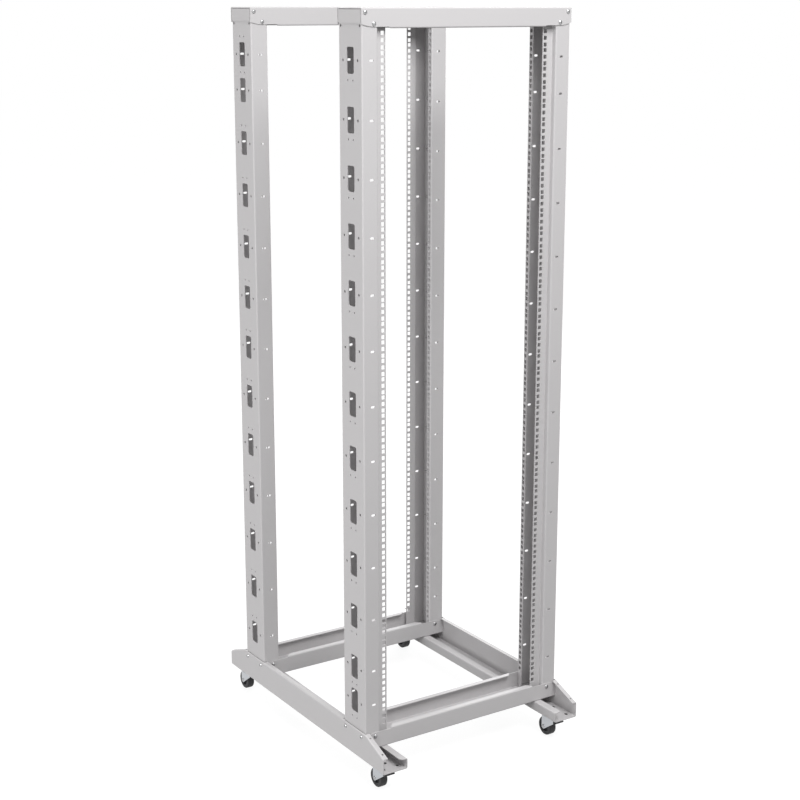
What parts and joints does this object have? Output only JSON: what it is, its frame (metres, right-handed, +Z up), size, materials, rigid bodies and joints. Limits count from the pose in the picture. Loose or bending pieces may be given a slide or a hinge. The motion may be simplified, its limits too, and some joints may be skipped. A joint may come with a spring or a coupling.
{
  "type": "four post open frame rack",
  "caption": "Open server rack with tall folded-steel posts, square-hole mounting strips, cable cut-outs, base rails and swivel casters.",
  "frame": {"origin": "floor level under the middle of the rack", "axes": "+X to the rack's left-to-right width seen from the front, +Y from the front to the rear, +Z up"},
  "size_m": [0.6, 0.8, 1.885],
  "materials": {
    "frame_paint": "light grey powder coat",
    "zinc": "bright zinc plating",
    "hub_plastic": "moulded black",
    "tyre_rubber": "black rubber",
    "shoe_plastic": "moulded black"
  },
  "bodies": {
    "frame": {"post_front_left": "frame_paint", "post_front_right": "frame_paint", "post_rear_left": "frame_paint", "post_rear_right": "frame_paint", "top_beam_front": "frame_paint", "top_beam_rear": "frame_paint", "bottom_beam_front": "frame_paint", "bottom_beam_rear": "frame_paint", "side_rail_left": "frame_paint", "side_rail_right": "frame_paint", "caster_plate_front_left": "zinc", "caster_plate_front_right": "zinc", "caster_plate_rear_left": "zinc", "caster_plate_rear_right": "zinc"},
    "swivel_front_left": {"caster_fork_front_left": "zinc", "caster_axle_front_left": "zinc", "brake_pin_front_left": "zinc"},
    "wheel_front_left": {"wheel_hub_front_left": "hub_plastic", "wheel_tyre_front_left": "tyre_rubber"},
    "pedal_front_left": {"brake_lever_front_left": "zinc", "brake_shoe_front_left": "shoe_plastic"},
    "swivel_front_right": {"caster_fork_front_right": "zinc", "caster_axle_front_right": "zinc", "brake_pin_front_right": "zinc"},
    "wheel_front_right": {"wheel_hub_front_right": "hub_plastic", "wheel_tyre_front_right": "tyre_rubber"},
    "pedal_front_right": {"brake_lever_front_right": "zinc", "brake_shoe_front_right": "shoe_plastic"},
    "swivel_rear_left": {"caster_fork_rear_left": "zinc", "caster_axle_rear_left": "zinc"},
    "wheel_rear_left": {"wheel_hub_rear_left": "hub_plastic", "wheel_tyre_rear_left": "tyre_rubber"},
    "swivel_rear_right": {"caster_fork_rear_right": "zinc", "caster_axle_rear_right": "zinc"},
    "wheel_rear_right": {"wheel_hub_rear_right": "hub_plastic", "wheel_tyre_rear_right": "tyre_rubber"}
  },
  "joints": [
    {"name": "swivel_turn_front_left", "type": "hinge", "parent": "frame", "child": "swivel_front_left", "pos_m": [-0.265, -0.35, 0.0609], "axis": [0, 0, 1], "continuous": true},
    {"name": "wheel_spin_front_left", "type": "hinge", "parent": "swivel_front_left", "child": "wheel_front_left", "pos_m": [-0.265, -0.325, 0.025], "axis": [1, 0, 0], "continuous": true},
    {"name": "pedal_press_front_left", "type": "hinge", "parent": "swivel_front_left", "child": "pedal_front_left", "pos_m": [-0.265, -0.358, 0.048], "axis": [1, 0, 0], "range_deg": [0, 15]},
    {"name": "swivel_turn_front_right", "type": "hinge", "parent": "frame", "child": "swivel_front_right", "pos_m": [0.265, -0.35, 0.0609], "axis": [0, 0, 1], "continuous": true},
    {"name": "wheel_spin_front_right", "type": "hinge", "parent": "swivel_front_right", "child": "wheel_front_right", "pos_m": [0.265, -0.325, 0.025], "axis": [1, 0, 0], "continuous": true},
    {"name": "pedal_press_front_right", "type": "hinge", "parent": "swivel_front_right", "child": "pedal_front_right", "pos_m": [0.265, -0.358, 0.048], "axis": [1, 0, 0], "range_deg": [0, 15]},
    {"name": "swivel_turn_rear_left", "type": "hinge", "parent": "frame", "child": "swivel_rear_left", "pos_m": [-0.265, 0.35, 0.0609], "axis": [0, 0, 1], "continuous": true},
    {"name": "wheel_spin_rear_left", "type": "hinge", "parent": "swivel_rear_left", "child": "wheel_rear_left", "pos_m": [-0.265, 0.375, 0.025], "axis": [1, 0, 0], "continuous": true},
    {"name": "swivel_turn_rear_right", "type": "hinge", "parent": "frame", "child": "swivel_rear_right", "pos_m": [0.265, 0.35, 0.0609], "axis": [0, 0, 1], "continuous": true},
    {"name": "wheel_spin_rear_right", "type": "hinge", "parent": "swivel_rear_right", "child": "wheel_rear_right", "pos_m": [0.265, 0.375, 0.025], "axis": [1, 0, 0], "continuous": true}
  ]
}
